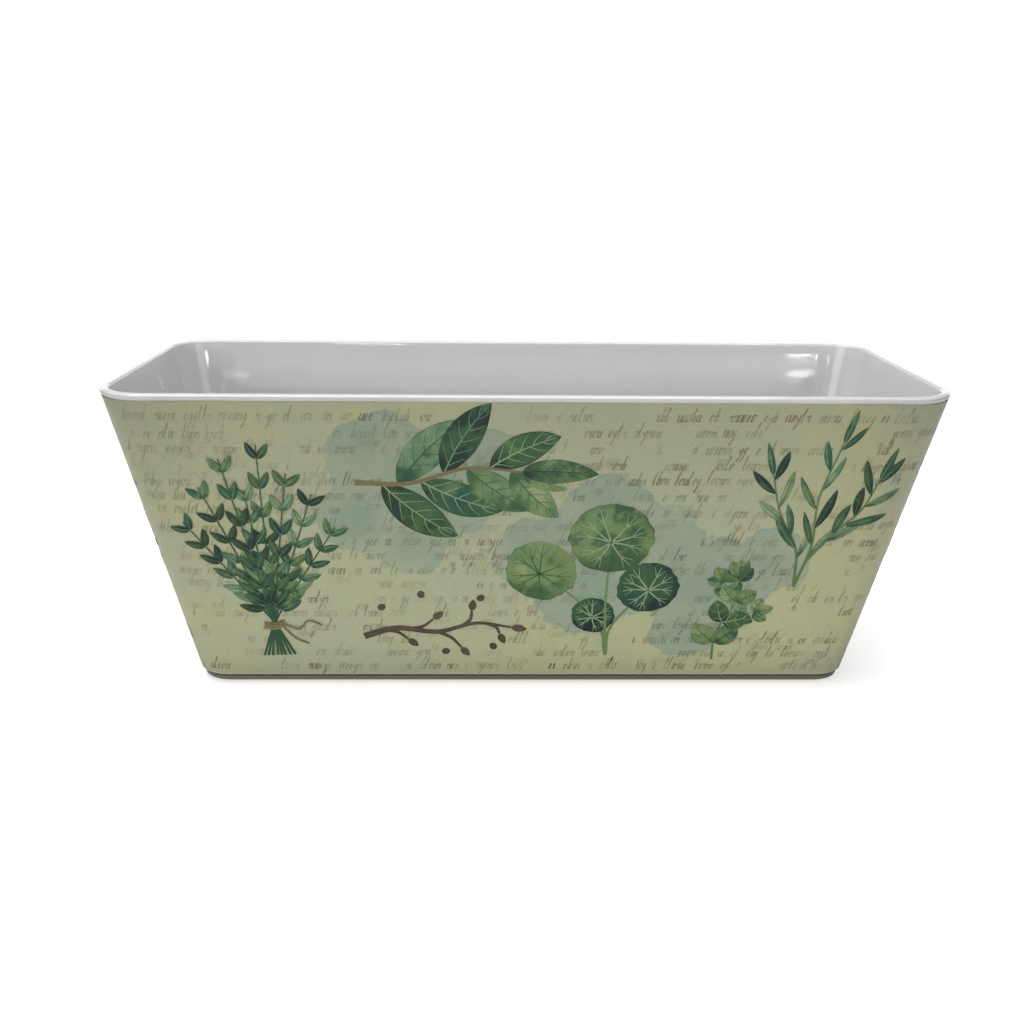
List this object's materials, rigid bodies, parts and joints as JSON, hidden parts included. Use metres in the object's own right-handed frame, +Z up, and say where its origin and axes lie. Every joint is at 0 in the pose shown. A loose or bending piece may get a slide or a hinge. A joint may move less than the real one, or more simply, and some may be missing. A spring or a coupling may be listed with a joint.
{
  "type": "herb planter",
  "caption": "Tapered rectangular windowsill planter with rounded corners, a rolled rim, a printed leaf wrap, lift-out drain plugs and rubber feet.",
  "frame": {"origin": "centre of the footprint on the surface that the planter stands on, which is the bottom centre of the bounding box", "axes": "+X along the length, to the right seen from the front; +Y from the front wall to the back wall; +Z up"},
  "size_m": [0.305, 0.118, 0.121],
  "materials": {
    "white_melamine": "glossy moulded white",
    "printed_foil": "satin print, sage green with leaf sprigs",
    "plug_silicone": "matt, slightly milky",
    "foot_rubber": "matt dark grey"
  },
  "bodies": {
    "planter": {"trough": "white_melamine", "printed_wrap": "printed_foil", "foot_front_left": "foot_rubber", "foot_front_right": "foot_rubber", "foot_back_left": "foot_rubber", "foot_back_right": "foot_rubber"},
    "left_plug": {"drain_plug_left": "plug_silicone"},
    "middle_plug": {"drain_plug_middle": "plug_silicone"},
    "right_plug": {"drain_plug_right": "plug_silicone"}
  },
  "joints": [
    {"name": "left_plug_lift", "type": "slide", "parent": "planter", "child": "left_plug", "axis": [0, 0, 1], "range_m": [0, 0.13]},
    {"name": "middle_plug_lift", "type": "slide", "parent": "planter", "child": "middle_plug", "axis": [0, 0, 1], "range_m": [0, 0.13]},
    {"name": "right_plug_lift", "type": "slide", "parent": "planter", "child": "right_plug", "axis": [0, 0, 1], "range_m": [0, 0.13]}
  ]
}
